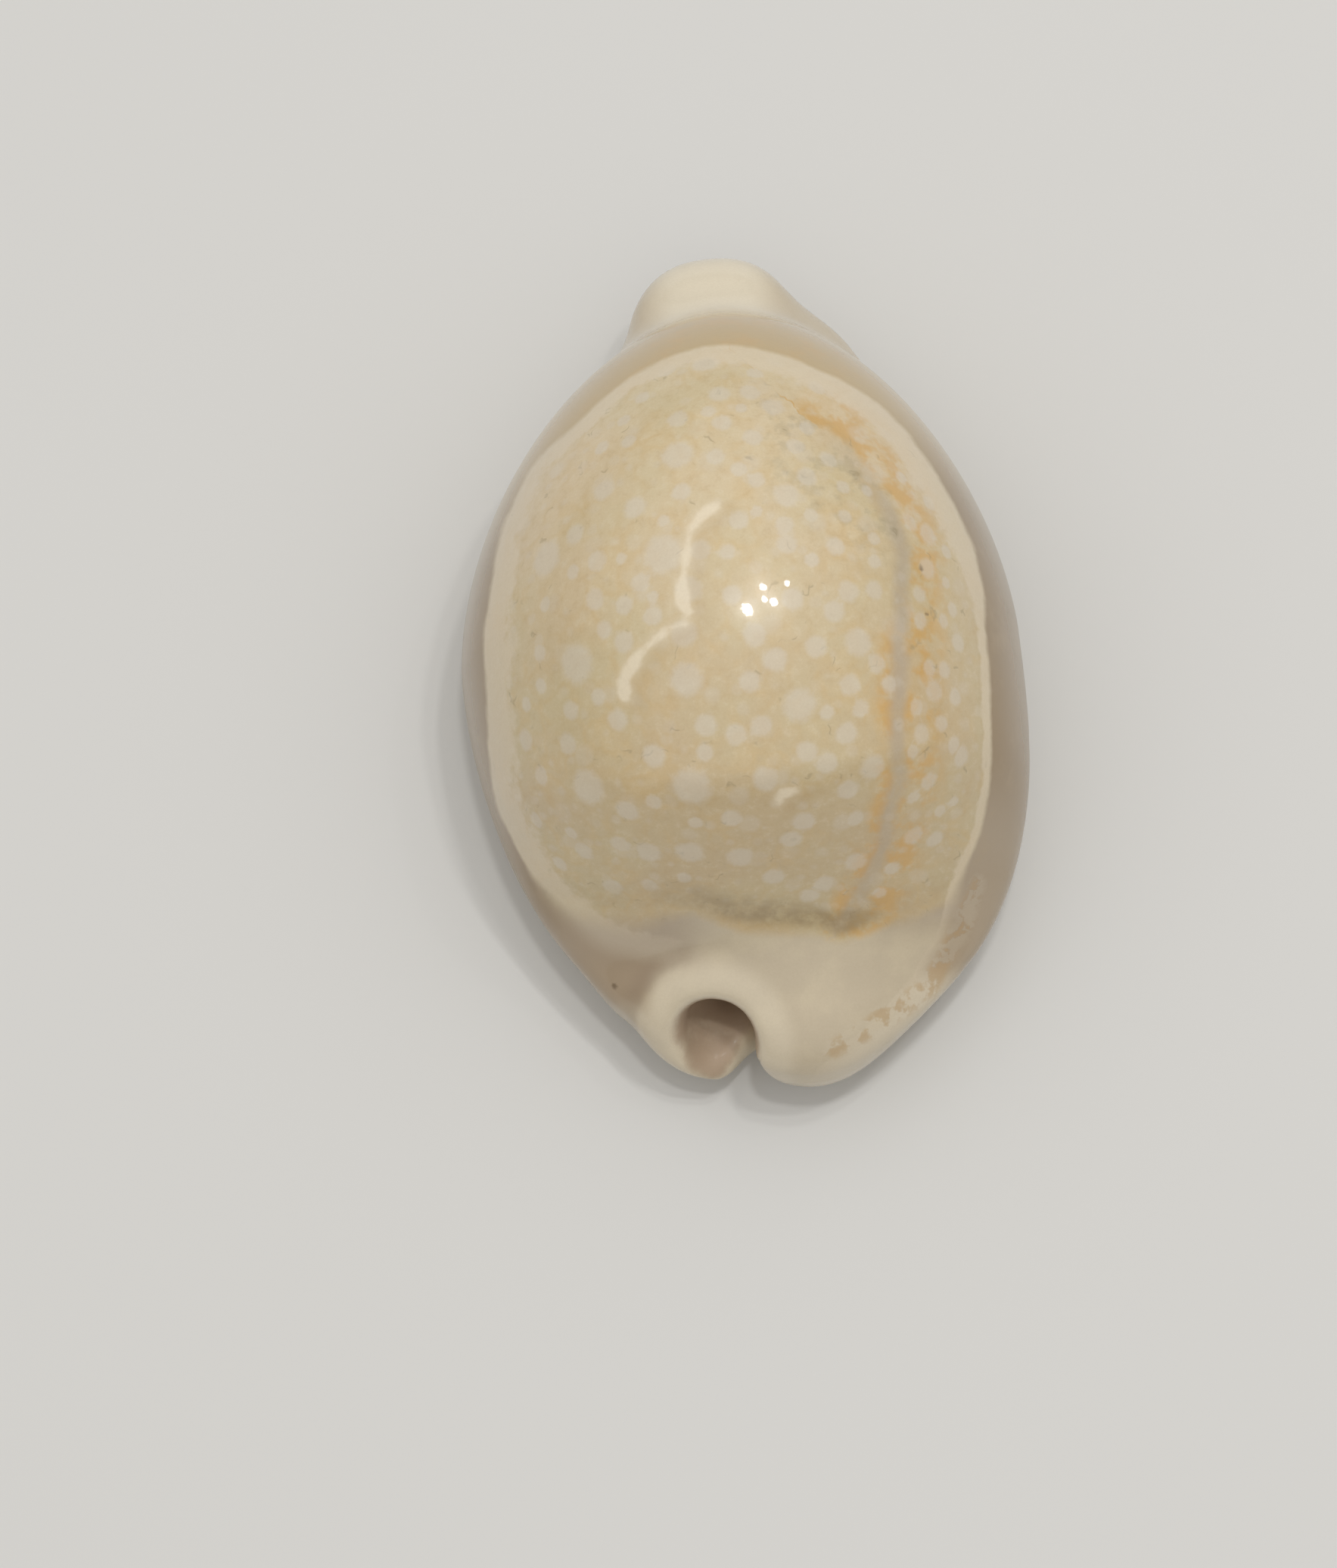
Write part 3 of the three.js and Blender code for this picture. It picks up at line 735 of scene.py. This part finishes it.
def fawn_coat(sh, at):
    """The coat of the dorsum, warmer and lighter towards the front; the rise in lightness towards the front
    is painted light.
    """
    # back to front: the coat's own warmer tone, and painted light falling from the front
    coat = sh.tint(sh.ramp(at.y, -14.0, 14.0), COAT_BACK_TONE_AND_SHADE, COAT_FRONT_TONE_AND_LIGHT)
    coat = sh.tint(sh.ramp(sh.noise(at.pos, 0.16, 3.0), 0.35, 0.7, 0.0, 0.5), coat, COAT_GREENISH)
    coat = sh.tint(sh.ramp(at.patch, 0.5, 0.75, 0.0, 0.3), coat, COAT_HONEY)

    # small-scale mottling, tan in the hollows and cream between
    mottle = sh.noise(at.flat, 1.5, 4.0, 0.7)
    coat = sh.tint(sh.ramp(mottle, 0.5, 0.3, 0.0, 0.22), coat, HOLLOW_TAN)
    coat = sh.tint(sh.ramp(mottle, 0.5, 0.7, 0.0, 0.22), coat, BETWEEN_CREAM)

    # orange-tan patches beside the mantle line, most of them on its outer side
    beside = sh.plus(at.mantle, at.wander, 0.6)
    outside = sh.both(sh.ramp(beside, 0.1, 0.6), sh.ramp(beside, 2.6, 1.2))
    inner = sh.both(sh.ramp(beside, -1.3, -0.5), sh.ramp(beside, 0.0, -0.4), sh.ramp(at.y, -1.0, -4.0))
    clump = sh.ramp(sh.noise(at.flat, 0.55, 3.0, 0.65), 0.42, 0.6, 0.12, 1.0)
    coat = sh.tint(sh.both(sh.math("MAXIMUM", outside, inner), clump, 0.76), coat, PATCH_ORANGE)

    # mantle line: a soft grey-lilac streak
    off_line = sh.math("ABSOLUTE", sh.plus(at.mantle, at.wander, 0.4))
    core = sh.both(sh.ramp(off_line, 0.7, 0.05), sh.ramp(at.y, 8.0, 2.0, 0.1, 1.0))
    coat = sh.tint(sh.both(core, sh.ramp(at.y, -11.0, -5.0, 0.3, 0.45)), coat, LINE_LILAC)

    # grey mottling by the front of the mantle line
    grey = sh.both(sh.ramp(at.mantle, -5.5, -1.5), sh.ramp(at.mantle, 1.2, -0.2),
                   sh.ramp(at.y, -1.0, 3.0))
    cloud = sh.ramp(sh.noise(at.flat, 0.9, 3.0, 0.6), 0.48, 0.62)
    coat = sh.tint(sh.both(grey, cloud, 0.28), coat, CLOUD_GREY)

    # short dark nicks in the glaze
    sparse = sh.ramp(sh.noise(at.flat, 0.9, 2.0, 0.5), 0.6, 0.68)
    coat = sh.tint(sh.both(veins(sh, at.flat, 1.9, 0.13, 1.6), sparse, 0.4), coat, NICK_DARK)

    # fine net of yellowish veins
    net = sh.both(veins(sh, at.flat, 1.5, 0.42, 0.8), sh.ramp(at.patch, 0.36, 0.62, 0.15, 1.0))
    coat = sh.tint(sh.both(net, 0.24), coat, VEIN_YELLOW)

    # spots: the ones that stand out, then the small ones between them
    clear = sh.ramp(sh.plus(sh.attribute("spot"), at.jitter), 1.3, 0.7)
    big = sh.both(speckles(sh, at.flat, 2.6, 0.45, 0.6, 0.2), 0.6)
    small = sh.both(speckles(sh, at.flat, 1.25, 0.22, 0.65, 0.14), 0.5)
    spots = sh.math("MAXIMUM", clear, sh.math("MAXIMUM", big, small))
    spots = sh.both(spots, sh.ramp(at.edge, 0.1, 0.8), sh.ramp(at.end, -0.4, 0.8))
    return sh.tint(sh.both(spots, 0.46), coat, SPOT_PALE)


def coat_on_callus(sh, at, coat):
    """The pale callus behind the coat, with painted shade on its left, and the band that the coat ends in,
    partly painted shade.
    """
    pale = sh.tint(sh.ramp(at.patch, 0.4, 0.7), CALLUS_LOW, CALLUS_HIGH)
    # painted shade: the callus darker on the left, near the end of the coat
    shade_left = sh.both(sh.ramp(at.x, -2.2, -5.0), sh.ramp(at.end, -4.6, -2.2))
    pale = sh.tint(sh.both(shade_left, 0.8), pale, CALLUS_SHADE_LEFT)
    grey_right = sh.both(sh.ramp(at.x, 3.5, 7.5), sh.ramp(at.y, -15.5, -12.0))
    pale = sh.tint(sh.both(grey_right, 0.9), pale, CALLUS_GREY_RIGHT)
    fade = sh.ramp(at.x, -3.0, -6.0, 1.0, 2.4)
    ending = sh.math("DIVIDE", sh.math("ADD", at.coat_edge, 0.45), fade)
    light = sh.tint(sh.ramp(ending, -0.65, 0.0), pale, coat)

    # olive-brown band, fainter at both ends: partly the coat's own colour, partly painted shade where the
    # dome slopes down to the back
    band_and_shade = sh.both(sh.ramp(at.coat_edge, -0.8, -0.1), sh.ramp(at.coat_edge, 1.2, 0.0))
    mottle = sh.ramp(sh.noise(at.flat, 0.8, 3.0, 0.6), 0.3, 0.62, 0.45, 1.0)
    strong = sh.both(sh.ramp(at.x, -6.0, -0.5, 0.25, 1.0), sh.ramp(at.x, 6.0, 3.6, 0.2, 1.0))
    light = sh.tint(sh.both(band_and_shade, mottle, strong, 0.78), light, BAND_OLIVE_AND_SHADE)

    # faint orange streak below its middle
    streak = sh.both(sh.ramp(at.coat_edge, -1.2, -0.7), sh.ramp(at.coat_edge, -0.1, -0.6))
    middle = sh.ramp(sh.math("ABSOLUTE", sh.math("ADD", at.x, 0.6)), 3.0, 1.2)
    return sh.tint(sh.both(streak, middle, 0.22), light, STREAK_ORANGE)


def pale_marks_and_highlights(sh, at, light):
    """Painted reflection lines in the glaze with painted shade beside them, the ribbon at the edge of the
    light zone, partly a painted reflection, and the ring's crest, partly a painted highlight.
    """
    # painted reflections: pale lines in the glaze, with painted shade along one side
    ragged = sh.math("SUBTRACT", sh.noise(at.pos, 1.0, 2.0, 0.5), 0.5)
    off_reflection = sh.plus(sh.attribute("reflection_line"), ragged, 0.6)
    shade_beside = sh.both(sh.ramp(sh.attribute("reflection_shade"), 0.7, -0.2), 0.22)
    light = sh.tint(shade_beside, light, REFLECTION_SHADE_TINT)
    light = sh.tint(sh.ramp(off_reflection, 0.5, -0.15, 0.0, 0.3), light, REFLECTION_HALO)
    light = sh.tint(sh.ramp(off_reflection, 0.14, -0.16, 0.0, 0.62), light, REFLECTION_CORE)

    # pale ribbon along the edge of the light zone: partly the callus's pale edge, partly a painted
    # reflection
    across = sh.plus(sh.attribute("ribbon_reflection"), sh.plus(at.jitter, at.wander, 0.9))
    ribbon_reflection = sh.both(sh.ramp(across, 1.15, 0.75), sh.ramp(at.end, -2.5, 0.5, 0.3, 1.0),
                     sh.ramp(at.y, 15.0, 11.0, 0.35, 1.0))
    light = sh.tint(sh.both(ribbon_reflection, 0.6), light, RIBBON_PALE_AND_REFLECTION)

    # pale crest of the ring: partly the callus's whitish tone, partly a painted highlight of the glow along
    # the crest
    crest_highlight = sh.both(sh.ramp(at.bore, 2.5, 1.5), sh.ramp(at.bore, 0.0, 0.5))
    return sh.tint(sh.both(crest_highlight, 0.45), light, RING_PALE_AND_HIGHLIGHT)


def flank_tone_and_shade(sh, at):
    """The duller callus outside the light zone, darker partly by its own tone and partly by painted shade;
    the lobes, the snout and the base.
    """
    flank = sh.tint(sh.ramp(at.y, 4.0, 11.0), FLANK_BACK_AND_SHADE, FLANK_FRONT)
    blush = sh.both(sh.ramp(at.y, 9.0, 13.0, 0.0, 0.5), sh.ramp(at.patch, 0.45, 0.7),
                    sh.ramp(at.z, 7.0, 10.0))
    flank = sh.tint(blush, flank, FLANK_BLUSH)
    left_lobe = sh.both(sh.ramp(at.x, -3.0, -6.0), sh.ramp(at.y, -10.0, -13.0), 0.7)
    flank = sh.tint(left_lobe, flank, FLANK_LEFT_LOBE)
    right_lobe = sh.both(sh.ramp(at.x, 2.0, 5.0), sh.ramp(at.y, -7.0, -11.0), 0.8)
    flank = sh.tint(right_lobe, flank, FLANK_RIGHT_LOBE)
    flank = sh.tint(sh.ramp(at.y, -15.5, -17.0), flank, LOBE_TIPS)
    snout = sh.both(sh.ramp(at.y, 12.5, 15.5), sh.ramp(at.z, 11.5, 9.0))
    # painted shade: the snout darker on its left and right sides than on its top
    shaded_sides = sh.ramp(sh.math("ABSOLUTE", sh.math("SUBTRACT", at.x, 0.4)), 1.6, 4.0)
    flank = sh.tint(snout, flank, sh.tint(shaded_sides, SNOUT_TOP, SNOUT_SIDES_SHADE))
    flank = sh.tint(sh.ramp(at.z, 5.8, 2.2, 0.0, 0.85), flank, BASE_PALE)
    return sh.tint(sh.ramp(at.patch, 0.5, 0.8, 0.0, 0.25), flank, FLANK_MOTTLE)


def crease_shade_and_wear(sh, at, colour):
    """Painted shade in the crease by the ring, the scars of the right margin, and the pinholes."""
    # painted shade along the crease between the ring and the left flank
    crease_shade = sh.both(sh.ramp(at.bore, 1.9, 2.4), sh.ramp(at.bore, 3.4, 2.5),
                     sh.ramp(at.x, -3.2, -4.6))
    colour = sh.tint(sh.both(crease_shade, 0.35), colour, CREASE_SHADE)
    broken = sh.ramp(sh.noise(at.pos, 1.1, 3.0, 0.6), 0.47, 0.6)
    scar = sh.ramp(sh.plus(sh.attribute("margin_scar"), at.jitter), 0.45, 0.0)
    colour = sh.tint(sh.both(scar, broken, 0.5), colour, SCAR_TAN)
    colour = sh.tint(sh.both(scar, sh.ramp(broken, 0.3, 0.0), 0.12), colour, SCAR_PALE)
    pinhole = sh.ramp(sh.plus(sh.attribute("pinhole"), at.jitter), 1.4, 0.5)
    return sh.tint(sh.both(pinhole, 0.7), colour, PINHOLE_DARK)


def shell_finish():
    mat = bpy.data.materials.new("glossy cowrie shell")
    mat.use_nodes = True
    tree = mat.node_tree
    tree.nodes.clear()
    sh = Sheet(tree)
    at = ground(sh)
    light = pale_marks_and_highlights(sh, at, coat_on_callus(sh, at, fawn_coat(sh, at)))

    # the edge of the light zone, crisp along the coat and softer behind it; outside it the flank's darker
    # tone is partly painted shade
    soft = sh.ramp(at.end, -1.5, 1.0, 0.55, 0.12)
    inside = sh.ramp(sh.math("DIVIDE", sh.plus(at.edge, at.wander, 0.2), soft), -1.0, 1.0)
    colour = crease_shade_and_wear(sh, at, sh.tint(inside, flank_tone_and_shade(sh, at), light))

    # the canal is painted brown, and the chamber is a dull rose
    in_bore = sh.ramp(sh.plus(at.bore, at.jitter, 0.5), 0.55, 0.05)
    colour = sh.tint(sh.both(in_bore, 0.9), colour, CANAL_BROWN)
    colour = sh.tint(sh.ramp(sh.attribute("depth"), 0.4, 2.4), colour, CHAMBER_ROSE)
    grain = sh.noise(at.pos, 9.0, 2.0, 0.6)
    colour = sh.tint(sh.ramp(grain, 0.2, 0.9, 0.0, 0.1), colour, GRAIN_DARK)

    # glossy glaze, worn duller on the flanks and in the canal
    ends = sh.both(sh.ramp(sh.math("ABSOLUTE", at.y), 10.5, 13.5), sh.ramp(at.z, 4.0, 8.0, 0.4, 1.0))
    gloss = sh.math("MAXIMUM", sh.ramp(at.z, 5.0, 11.0, 0.22, 1.0), ends)
    glaze = sh.both(gloss, sh.math("SUBTRACT", GLAZE_WEIGHT, sh.both(in_bore, 0.6)))
    height = sh.plus(sh.both(at.patch, 0.8), at.fine, 0.25)
    bump = sh.node("ShaderNodeBump")
    bump.inputs["Strength"].default_value = BUMP_STRENGTH
    bump.inputs["Distance"].default_value = BUMP_REACH
    sh.put(bump.inputs["Height"], height)

    shell_bsdf = sh.node("ShaderNodeBsdfPrincipled")
    sockets = shell_bsdf.inputs
    sh.put(sockets["Base Color"], colour)
    sh.put(sockets["Roughness"], sh.math("ADD", sh.both(in_bore, CANAL_ROUGHER), SHELL_ROUGH))
    sh.put(sockets["Specular IOR Level"], SHELL_SPECULAR)
    sh.put(sockets["Coat Weight"], glaze)
    sh.put(sockets["Coat Roughness"], GLAZE_ROUGH)
    sh.put(sockets["Coat IOR"], GLAZE_IOR)
    sh.put(sockets["Normal"], bump.outputs[0])
    sh.put(sockets["Coat Normal"], bump.outputs[0])
    out = sh.node("ShaderNodeOutputMaterial")
    sh.put(out.inputs["Surface"], shell_bsdf.outputs[0])
    return mat


# ---------------------------------------------------------------- teeth and pits
# name, socket kind, value in metres
TEETH_SIZES = (("Tooth Height", "NodeSocketFloat", 0.00032),
               ("Labral Pitch", "NodeSocketFloat", 0.00174),
               ("Columellar Pitch", "NodeSocketFloat", 0.00197),
               ("Pit Depth", "NodeSocketFloat", 0.00009),
               ("Pit Spacing", "NodeSocketFloat", 0.0019),
               ("Seed", "NodeSocketInt", 7))


def teeth_tree():
    """Ridges across both lips of the slit, and small pits along the outer margin."""
    g = bpy.data.node_groups.new("slit teeth", "GeometryNodeTree")
    face = g.interface
    face.new_socket(name="Geometry", in_out="INPUT", socket_type="NodeSocketGeometry")
    for name, kind, val in TEETH_SIZES:
        s = face.new_socket(name=name, in_out="INPUT", socket_type=kind)
        s.default_value = val
    face.new_socket(name="Material", in_out="INPUT", socket_type="NodeSocketMaterial")
    face.new_socket(name="Geometry", in_out="OUTPUT", socket_type="NodeSocketGeometry")
    sh = Sheet(g)
    gin = sh.node("NodeGroupInput")
    out = sh.node("NodeGroupOutput")
    pos = sh.node("GeometryNodeInputPosition").outputs[0]
    sep = sh.node("ShaderNodeSeparateXYZ")
    sh.put(sep.inputs[0], pos)
    y = sep.outputs[1]

    def named(name):
        n = sh.node("GeometryNodeInputNamedAttribute", data_type="FLOAT")
        n.inputs["Name"].default_value = name
        return n.outputs["Attribute"]

    def ridge(pitch, phase):
        turns = sh.math("ADD", sh.math("DIVIDE", y, pitch), phase)
        wave = sh.math("COSINE", sh.math("MULTIPLY", turns, 2 * math.pi))
        lifted = sh.math("ADD", sh.math("MULTIPLY", wave, 0.5), 0.5)
        return sh.math("POWER", lifted, 1.4)

    labral = sh.math("MULTIPLY", named("labral"), ridge(gin.outputs["Labral Pitch"], 0.0))
    columellar = sh.math("MULTIPLY", named("columellar"), ridge(gin.outputs["Columellar Pitch"], 0.4))
    rise = sh.math("MULTIPLY", sh.math("ADD", labral, columellar), gin.outputs["Tooth Height"])
    vor = sh.node("ShaderNodeTexVoronoi", feature="F1", voronoi_dimensions="4D")
    sh.put(vor.inputs["Vector"], pos)
    sh.put(vor.inputs["W"], gin.outputs["Seed"])
    sh.put(vor.inputs["Scale"], sh.math("DIVIDE", 1.0, gin.outputs["Pit Spacing"]))
    pit = sh.math("MULTIPLY", sh.ramp(vor.outputs["Distance"], 0.42, 0.1), named("pit_zone"))
    sink = sh.math("MULTIPLY", pit, gin.outputs["Pit Depth"])
    lift = sh.math("SUBTRACT", rise, sink)
    normal = sh.node("GeometryNodeInputNormal").outputs[0]
    offset = sh.node("ShaderNodeVectorMath", operation="SCALE")
    sh.put(offset.inputs[0], normal)
    sh.put(offset.inputs["Scale"], lift)
    move = sh.node("GeometryNodeSetPosition")
    sh.put(move.inputs["Geometry"], gin.outputs["Geometry"])
    sh.put(move.inputs["Offset"], offset.outputs[0])
    real = sh.node("GeometryNodeRealizeInstances")
    sh.put(real.inputs[0], move.outputs[0])
    paint = sh.node("GeometryNodeSetMaterial")
    sh.put(paint.inputs["Geometry"], real.outputs[0])
    sh.put(paint.inputs["Material"], gin.outputs["Material"])
    sh.put(out.inputs[0], paint.outputs[0])
    return g


def socket_id(tree, name):
    for item in tree.interface.items_tree:
        if item.item_type == "SOCKET" and item.in_out == "INPUT" and item.name == name:
            return item.identifier
    raise KeyError(name)


finish = shell_finish()
tree = teeth_tree()
mod = shell_piece.modifiers.new("teeth", "NODES")
mod.node_group = tree
for name, _, value in TEETH_SIZES:
    mod[socket_id(tree, name)] = value
mod[socket_id(tree, "Material")] = finish
bpy.context.view_layer.update()
depsgraph = bpy.context.evaluated_depsgraph_get()
done = bpy.data.meshes.new_from_object(shell_piece.evaluated_get(depsgraph))
shell_piece.modifiers.clear()
shell_piece.data = done
done.polygons.foreach_set("use_smooth", [True] * len(done.polygons))
done.update()

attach(shell_piece, "root")
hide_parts("cowrie_shell")

# ---------------------------------------------------------------- studio
FLOOR_SIZE, FLOOR_DROP = 3.0, 0.02 * MM
bpy.ops.mesh.primitive_plane_add(size=FLOOR_SIZE, location=(0, 0, -FLOOR_DROP))
floor = bpy.context.object
floor.name = "floor"
paper = bpy.data.materials.new("pale paper")
paper.use_nodes = True
paper_bsdf = paper.node_tree.nodes["Principled BSDF"]
paper_bsdf.inputs["Base Color"].default_value = srgb(210, 209, 206)
paper_bsdf.inputs["Roughness"].default_value = 0.9
paper_bsdf.inputs["Specular IOR Level"].default_value = 0.2
floor.data.materials.append(paper)

centre = (VIEW_CENTRE - home) * MM + target


def lamp(name, toward, far, size, watts):
    """A round white lamp, aimed at the middle of the shell."""
    light = bpy.data.lights.new(name, "AREA")
    light.shape = "DISK"
    light.size = size
    light.energy = watts
    ob = bpy.data.objects.new(name, light)
    scene.collection.objects.link(ob)
    v = Vector(toward).normalized()
    ob.location = Vector(centre) + v * far
    ob.rotation_euler = (-v).to_track_quat("-Z", "Y").to_euler()


# A softbox in three widths, for a highlight that fades outwards: size, watts.
SOFTBOX_TOWARD, SOFTBOX_FAR = (0.02, 0.45, 0.89), 0.9
SOFTBOX = ((0.7, 0.22), (1.2, 0.55), (2.0, 1.4))
# Small bulbs for the cluster of glints on the dome: direction, size, watts.
BULB_FAR = 0.5
BULBS = (((0.074, 0.027, 0.997), 0.034, 0.34),
         ((0.221, 0.192, 0.956), 0.022, 0.15),
         ((0.215, 0.106, 0.971), 0.018, 0.09),
         ((0.286, 0.087, 0.954), 0.024, 0.17),
         ((0.399, 0.216, 0.891), 0.014, 0.035))
for k, (size, watts) in enumerate(SOFTBOX):
    lamp(f"softbox {k}", SOFTBOX_TOWARD, SOFTBOX_FAR, size, watts)
for k, (toward, size, watts) in enumerate(BULBS):
    lamp(f"bulb {k}", toward, BULB_FAR, size, watts)

# Plain surroundings, dimmer towards the floor so that the flanks keep their tone.
SKY_LOW, SKY_HIGH, SKY_SHOWN = 0.24, 0.78, 0.62
world = bpy.data.worlds.new("studio")
scene.world = world
world.use_nodes = True
sky = Sheet(world.node_tree)
backdrop = world.node_tree.nodes["Background"]
backdrop.inputs[0].default_value = (1.0, 0.985, 0.96, 1)
heading = sky.node("ShaderNodeSeparateXYZ")
sky.put(heading.inputs[0], sky.node("ShaderNodeTexCoord").outputs["Generated"])
glow = sky.ramp(heading.outputs[2], -0.05, 0.95, SKY_LOW, SKY_HIGH)
seen_direct = sky.node("ShaderNodeLightPath").outputs["Is Camera Ray"]
sky.put(backdrop.inputs[1], sky.math("MAXIMUM", glow, sky.both(seen_direct, SKY_SHOWN)))
scene.view_settings.view_transform = "Standard"

# ---------------------------------------------------------------- camera
ROLL, FRAME_TALL, OFF_RIGHT, OFF_UP = math.radians(-6), 75.63 * MM, 3.78 * MM, 5.22 * MM
far = VIEW_FAR * MM
back = Vector(VIEW_BACK)
right = Vector((1, 0, 0))
up = Vector(VIEW_UP)
right2 = right * math.cos(ROLL) + up * math.sin(ROLL)
up2 = up * math.cos(ROLL) - right * math.sin(ROLL)
eye = Vector(centre) + back * far
aim = Vector(centre) - right2 * OFF_RIGHT - up2 * OFF_UP
cam = bpy.data.cameras.new("camera")
cam.sensor_width = 36
cam.lens = cam.sensor_width * far / FRAME_TALL
cam.clip_start = 0.01
ob = bpy.data.objects.new("camera", cam)
scene.collection.objects.link(ob)
look = (aim - eye).normalized()
side = look.cross(up2).normalized()
lift = side.cross(look)
ob.matrix_world = Matrix((
    (side.x, lift.x, -look.x, eye.x),
    (side.y, lift.y, -look.y, eye.y),
    (side.z, lift.z, -look.z, eye.z),
    (0, 0, 0, 1),
))
scene.camera = ob
